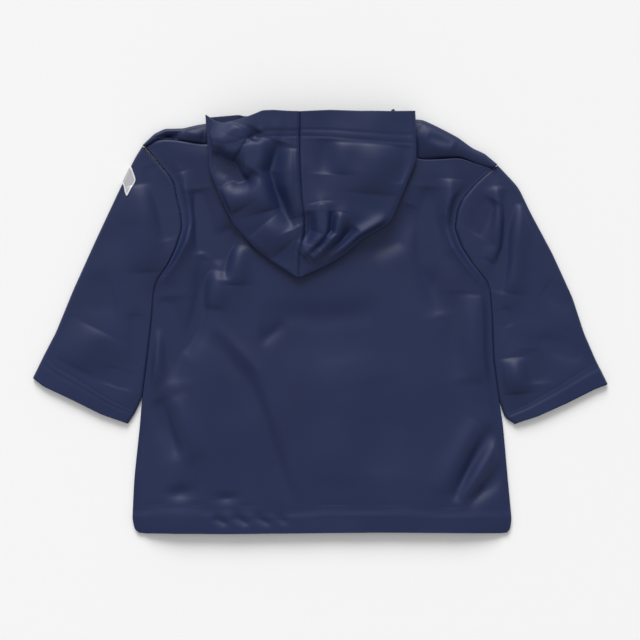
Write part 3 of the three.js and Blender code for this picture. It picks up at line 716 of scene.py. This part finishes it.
class HoodHalf:
    def __init__(self, side):
        self.side = side
        self.outward = -1 if side == "left" else 1
        away = self.outward * 0.15
        self.seam = softLine([(x + away, y) for x, y in hoodSeam])
        rim = softLine([(x + (away if k == 0 else 0), y) for k, (x, y) in enumerate(hoodRim[side])])
        end = hoodSeam[-1]
        tip = softLine([(end[0] + away, end[1]), hoodSide[side][-1]], rounded=False)
        self.edge = softLine(hoodSide[side])
        self.plan = panelPlan(rim, tip, self.seam, self.edge)

    def width(self, v):
        return np.linalg.norm(self.plan(np.ones_like(v), v) - self.plan(np.zeros_like(v), v), axis=-1)

    def top(self, u, v):
        place = self.plan(u, v)
        x, y = place[..., 0], place[..., 1]
        width = self.width(v)
        fromSide, fromSeam = (1 - u) * width, u * width
        radius = np.minimum(cloth["hoodRadius"], 0.3 * width)
        puff = cloth["hoodPuff"] * smooth(fromSide, -4, 50) * smooth(y, 38, 96)
        crumple = softCrumple(x, y, 60, 31, 1.3) + softCrumple(x, y, 26, 12, 0.35)
        folds = (foldHeight(hoodFolds, x, y) + crumple) * smooth(fromSide, 0, 9)
        fromRim = v * rimLine["hoodLength"]
        pucker = 0.5 * np.sin(x / 2.6) * np.exp(-((fromRim - 22) / 9) ** 2) * smooth(-x, -10, 40)
        for distance in rimLine["stitches"]:
            folds = folds - rimLine["groove"] * np.exp(-(((fromRim - distance) / rimLine["width"]) ** 2))
        folds = folds - crown["groove"] * np.exp(-((fromSeam / crown["width"]) ** 2))
        if self.side == "left":
            fromStitch = (fromSeam - crown["topstitch"]) / crown["topWidth"]
            folds = folds - crown["topGroove"] * np.exp(-(fromStitch ** 2))
        middle = cloth["napeLevel"] + cloth["hoodRise"]
        lift = puff + folds + pucker
        lift = crown["lowest"] + np.logaddexp(0, (lift - crown["lowest"]) * 1.5) / 1.5
        lift = crown["highest"] - np.logaddexp(0, (crown["highest"] - lift) * 1.2) / 1.2
        z = middle + cloth["hoodRise"] * roundOff(fromSide, radius) + lift * np.clip(fromSide / radius, 0, 1)
        return np.concatenate([place, z[..., None]], -1)

    def make(self):
        split = 0.075
        rows = np.concatenate([steps(14, 0, split), steps(140, split + 0.012, 1)])
        throatRows = 14
        topCount, turnCount, underCount = 105, 12, 46
        width = self.width(rows)
        radius = np.minimum(cloth["hoodRadius"], 0.3 * width)
        inner = 1 - radius / width
        t = steps(topCount)
        u = lerp(t, np.sin(t * math.pi / 2), 0.35)[None, :] * inner[:, None]
        v = np.repeat(rows[:, None], topCount, 1)
        parts = [self.top(u, v)]
        middle = cloth["napeLevel"] + cloth["hoodRise"]
        turn = []
        for angle in steps(turnCount + 1)[1:] * math.pi:
            inset = radius * (1 - abs(math.sin(angle)))
            uu = 1 - inset / width
            place = self.plan(uu, rows)
            z = middle + cloth["hoodRise"] * math.cos(angle)
            turn.append(np.concatenate([place, np.full((len(rows), 1), z)], -1)[:, None])
        parts.append(np.concatenate(turn, 1))
        under = np.zeros((len(rows), underCount, 3))
        s = steps(underCount)
        for k, row in enumerate(rows):
            if k < throatRows:
                x = self.outward * lerp(throat["side"] + 2, 0.6, s) + throat["middle"] * s
                share = k / (throatRows - 1)
                edge = np.full_like(x, throat["edgeY"])
                if self.side == "right":  # the rim's corner peeps out behind the hood
                    fromCorner = np.abs(x - throat["corner"]) / throat["cornerWidth"]
                    edge += throat["cornerReach"] * np.clip(1 - fromCorner, 0, 1)
                neck = necklineY(x) + 1.0
                climb = smooth(np.abs(x), throat["side"] - throat["ramp"] - 1, throat["side"])
                z = lerp(cloth["flatLevel"], cloth["napeLevel"], climb)
                under[k] = np.stack([x, lerp(edge, neck, share), z], -1)
            else:
                uu = inner[k] * (1 - s * 0.999)
                place = self.plan(uu, np.full_like(uu, row))
                under[k] = np.concatenate([place, np.full((underCount, 1), cloth["napeLevel"])], -1)
        parts.append(under)
        grid = np.concatenate(parts, 1)
        lowerFrom = topCount + turnCount - 1

        def present(i, j):
            return (j != throatRows - 1) | (i < lowerFrom)  # the hood stays open between throat and nape

        hem = np.zeros(grid.shape[:2])
        hem[:, :topCount] = 0.7 * smooth(rimLine["fold"] - rows[:, None] * rimLine["hoodLength"], -0.8, 0.8)
        piece = clothShell(f"hood_{self.side}_cloth", grid, "coated_cloth", present=present, riseBy=hem)
        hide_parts(f"hood_{self.side}")
        return piece


hoodShapes = {side: HoodHalf(side) for side in ("left", "right")}
hoodPieces = {side: shape.make() for side, shape in hoodShapes.items()}


thread = {"pitch": 3.0, "length": 2.1, "thick": 0.42, "sink": 0.12}
over = cloth["wall"] / 2


def lifted(points, extra=0.0):
    return points + np.array([0, 0, over + extra - thread["sink"]])


def addStitchLines():
    x = steps(320, -186, 189)
    for distance in hemLine["stitches"]:
        place = np.stack([x, hemY(x, distance)], -1)
        inset = np.minimum(x - sideAt(place[:, 1], 1), sideAt(place[:, 1], 2) - x)
        sew(lifted(np.concatenate([place, bodyHeight(place, inset)[:, None]], -1), 0.1))
    for side, shape in sleeveShapes.items():
        for distance in cuff["stitches"]:
            u = steps(120, 0.03, 0.97)
            sew(lifted(shape.place(u, np.full_like(u, 1 - distance / shape.length), True), 0.1))
    for side, shape in hoodShapes.items():
        for distance in rimLine["stitches"]:
            u = steps(160, 0.004, 0.965)
            sew(lifted(shape.top(u, np.full_like(u, distance / rimLine["hoodLength"])), 0.1))
    shape = hoodShapes["left"]
    v = steps(200, 0.01, 0.93)
    sew(lifted(shape.top(crown["topstitch"] / shape.width(v), v)))
    for line, outward in ((leftSide, -1), (rightSide, 1)):
        v = steps(160, 9.6 / 17, 0.985)
        for inset in (2.2, 8.2):
            u = inset / (rightSide(v)[:, 0] - leftSide(v)[:, 0])
            sew(lifted(backPoints(u if outward < 0 else 1 - u, v)))


def stitchTree():
    tree = bpy.data.node_groups.new("stitches", "GeometryNodeTree")
    face = tree.interface
    face.new_socket("Geometry", in_out="INPUT", socket_type="NodeSocketGeometry")
    for name in ("Pitch", "Length", "Thickness"):
        face.new_socket(name, in_out="INPUT", socket_type="NodeSocketFloat")
    face.new_socket("Finish", in_out="INPUT", socket_type="NodeSocketMaterial")
    face.new_socket("Geometry", in_out="OUTPUT", socket_type="NodeSocketGeometry")
    given = addNode(tree, "NodeGroupInput").outputs
    line = addNode(tree, "GeometryNodeMeshToCurve", links={"Mesh": given["Geometry"]})
    spots = addNode(tree, "GeometryNodeCurveToPoints", {"mode": "LENGTH"},
                    links={"Curve": line.outputs[0], "Length": given["Pitch"]})
    bead = addNode(tree, "GeometryNodeMeshUVSphere", values={"Segments": 6, "Rings": 5, "Radius": 0.5})
    sizes = {"X": given["Thickness"], "Y": given["Thickness"], "Z": given["Length"]}
    size = addNode(tree, "ShaderNodeCombineXYZ", links=sizes)
    placed = addNode(tree, "GeometryNodeInstanceOnPoints",
                     links={"Points": spots.outputs["Points"], "Instance": bead.outputs["Mesh"],
                            "Rotation": spots.outputs["Rotation"], "Scale": size.outputs[0]})
    solid = addNode(tree, "GeometryNodeRealizeInstances", links={"Geometry": placed.outputs[0]})
    finish = addNode(tree, "GeometryNodeSetMaterial",
                     links={"Geometry": solid.outputs[0], "Material": given["Finish"]})
    addNode(tree, "NodeGroupOutput", links={"Geometry": finish.outputs[0]})
    return tree


def makeStitches():
    addStitchLines()
    vertices, edges = [], []
    for line in stitchLines:
        first = len(vertices)
        vertices += (line * mm).tolist()
        edges += [(first + k, first + k + 1) for k in range(len(line) - 1)]
    mesh = bpy.data.meshes.new("stitch_routes")
    mesh.from_pydata(vertices, edges, [])
    routes = bpy.data.objects.new("stitch_routes", mesh)
    bpy.context.collection.objects.link(routes)
    tree = stitchTree()
    modifier = routes.modifiers.new("stitches", "NODES")
    modifier.node_group = tree
    sockets = {item.name: item.identifier for item in tree.interface.items_tree if item.in_out == "INPUT"}
    modifier[sockets["Pitch"]] = thread["pitch"] * mm
    modifier[sockets["Length"]] = thread["length"] * mm
    modifier[sockets["Thickness"]] = thread["thick"] * mm
    modifier[sockets["Finish"]] = materials["thread"]
    routes.update_tag()
    bpy.context.view_layer.update()
    evaluated = routes.evaluated_get(bpy.context.evaluated_depsgraph_get())
    made = bpy.data.meshes.new_from_object(evaluated)
    bpy.data.objects.remove(routes)
    piece = bpy.data.objects.new("stitching", made)
    bpy.context.collection.objects.link(piece)
    made.shade_smooth()
    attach(piece, body)
    print("sewed", len(stitchLines), "lines,", len(made.polygons), "faces")


makeStitches()

snaps = [bpy.data.objects[name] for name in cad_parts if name.startswith("snap_")]
for snap in snaps:
    snap.data.materials.clear()
    snap.data.materials.append(materials["snap_lacquer"])
print("lacquered", len(snaps), "snaps")


studio = {
    "floor": "#fcfcfc", "reach": 6.0, "level": -0.0003,
    "fill": 0.5, "sun": 2.55, "sunAngle": 34, "sunFrom": (-0.2, 1.6, 1.0), "side": 0.6,
    "distance": 1.85, "lens": 100,
}


def makeStage():
    floorMaterial, tree = newMaterial("studio_floor")
    skin(tree, {"Base Color": shade(studio["floor"]), "Roughness": 0.9}, {})
    mesh = bpy.data.meshes.new("floor")
    reach, level = studio["reach"], studio["level"]
    corners = [(x * reach, y * reach, level) for x, y in ((-1, -1), (1, -1), (1, 1), (-1, 1))]
    mesh.from_pydata(corners, [], [(0, 1, 2, 3)])
    floor = bpy.data.objects.new("floor", mesh)
    bpy.context.collection.objects.link(floor)
    mesh.materials.append(floorMaterial)


def addLight(name, kind, place, energy):
    # it shines from its place towards the middle of the coat
    lamp = bpy.data.objects.new(name, bpy.data.lights.new(name, kind))
    lamp.data.energy, lamp.location = energy, place
    lamp.rotation_euler = Vector(place).to_track_quat("Z", "Y").to_euler()
    bpy.context.collection.objects.link(lamp)
    return lamp


makeStage()
world = bpy.data.worlds.new("studio")
bpy.context.scene.world = world
world.use_nodes = True
world.node_tree.nodes["Background"].inputs["Color"].default_value = (1, 1, 1, 1)
world.node_tree.nodes["Background"].inputs["Strength"].default_value = studio["fill"]
addLight("sun", "SUN", studio["sunFrom"], studio["sun"]).data.angle = math.radians(studio["sunAngle"])
addLight("side", "AREA", (-1.5, 0.2, 0.9), studio["side"]).data.size = 0.8

lens = bpy.data.cameras.new("camera")
lens.lens, lens.sensor_width = studio["lens"], 36
camera = bpy.data.objects.new("camera", lens)
camera.location = (0, 0, studio["distance"])
bpy.context.collection.objects.link(camera)
bpy.context.scene.camera = camera
bpy.context.scene.view_settings.view_transform = "Standard"
bpy.context.scene.view_settings.look = "None"
